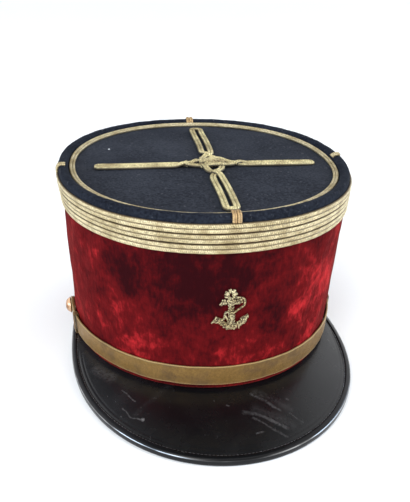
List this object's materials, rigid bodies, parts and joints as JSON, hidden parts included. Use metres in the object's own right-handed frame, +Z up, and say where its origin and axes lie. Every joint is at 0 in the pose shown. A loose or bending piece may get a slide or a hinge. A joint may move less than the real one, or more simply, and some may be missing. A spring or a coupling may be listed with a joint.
{
  "type": "kepi cap",
  "caption": "Round flat-topped officer's kepi with a velvet wall, gold braids, a sewn cross knot, a chin strap and a leather peak.",
  "frame": {"origin": "on the surface that the cap stands on, under the middle of its bounding box", "axes": "+Z up out of the crown, -Y towards the front of the peak, +X towards the wearer's left side"},
  "size_m": [0.1806, 0.245, 0.1242],
  "materials": {
    "velvet": "crimson cut velvet, crushed in places",
    "crown_cloth": "navy wool cloth",
    "gold_braid": "tarnished gold two-rib braid",
    "gold_wire": "gold wire embroidery",
    "gold_lace": "flat gold lace, tarnished",
    "button_metal": "worn gilt brass",
    "peak_leather": "black polished leather, scuffed"
  },
  "bodies": {
    "root": {"crown_wall": "velvet", "crown_top": "crown_cloth", "crown_rim": "crown_cloth", "ring_braid": "gold_braid", "side_braid_1": "gold_braid", "side_braid_2": "gold_braid", "side_braid_3": "gold_braid", "rim_tab_front": "gold_braid", "rim_tab_back": "gold_braid", "rim_tab_left": "gold_braid", "rim_tab_right": "gold_braid", "knot_arm_front": "gold_braid", "knot_arm_back": "gold_braid", "knot_arm_left": "gold_braid", "knot_arm_right": "gold_braid", "knot_centre": "gold_braid", "anchor_badge": "gold_wire", "chin_strap": "gold_lace", "strap_slide_left": "gold_lace", "strap_slide_right": "gold_lace", "side_button_left": "button_metal", "side_button_right": "button_metal", "peak": "peak_leather", "peak_binding": "peak_leather"}
  },
  "joints": []
}
